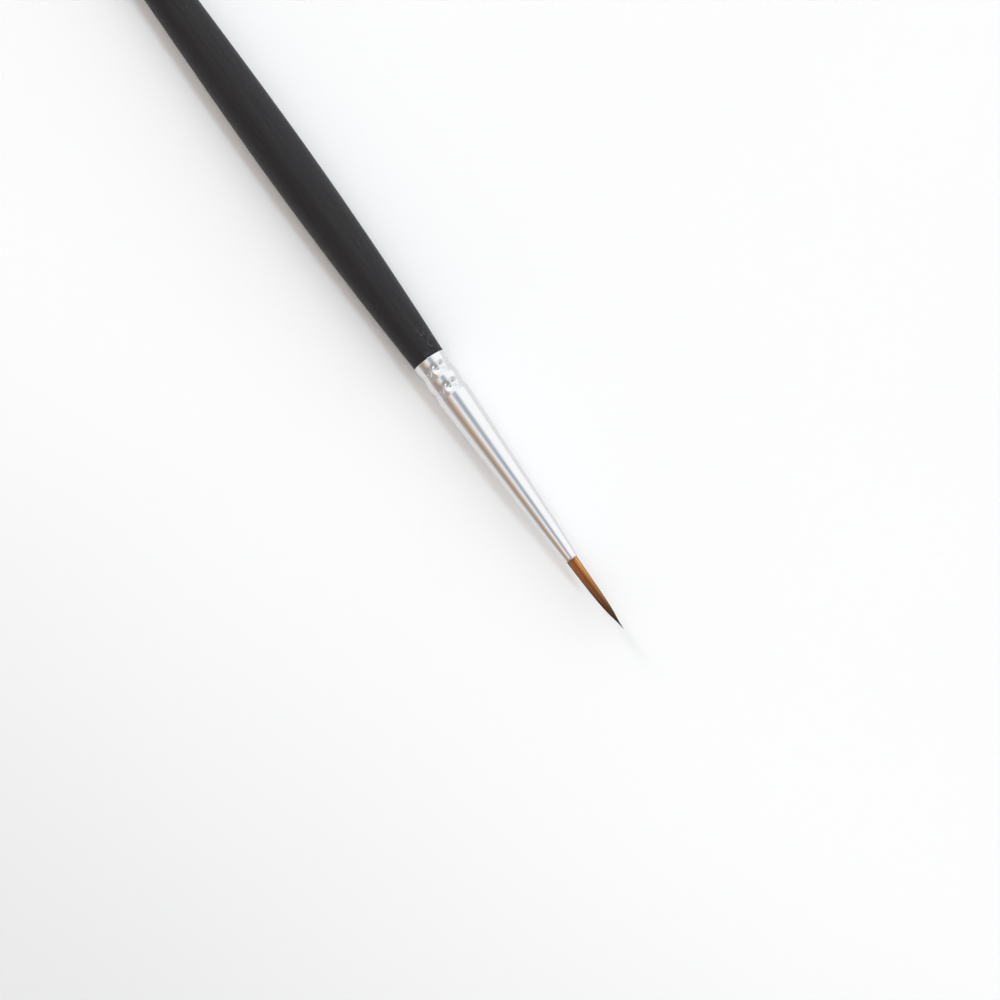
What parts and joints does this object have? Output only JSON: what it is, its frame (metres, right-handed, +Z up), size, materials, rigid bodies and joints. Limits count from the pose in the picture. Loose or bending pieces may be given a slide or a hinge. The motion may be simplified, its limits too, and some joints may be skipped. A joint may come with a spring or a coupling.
{
  "type": "fine detail brush",
  "caption": "Slim round paint brush with a tapered wooden handle, a crimped aluminium ferrule and a finely pointed hair tuft, for small painted details.",
  "frame": {"origin": "on the brush's axis, in the middle of the ferrule's cylindrical collar", "axes": "+X along the axis towards the hair tip, +Z up, +Y across; the first dimple of each crimp is 4.5 degrees from +Z towards -Y"},
  "size_m": [0.1848, 0.0054, 0.0054],
  "materials": {
    "handle_wood": "bare turned birch",
    "lacquer": "matt black lacquer, faint lengthwise grain",
    "glue": "dried wood glue",
    "ferrule": "satin bright, crimped",
    "cement": "hard amber root cement",
    "thread": "waxed linen thread",
    "hair": "golden to dark red-brown sable hair"
  },
  "bodies": {
    "root": {"handle_core": "handle_wood", "handle_lacquer": "lacquer", "tenon_glue": "glue", "ferrule": "ferrule", "root_cement": "cement", "binding_thread": "thread", "hair_tuft": "hair"}
  },
  "joints": []
}
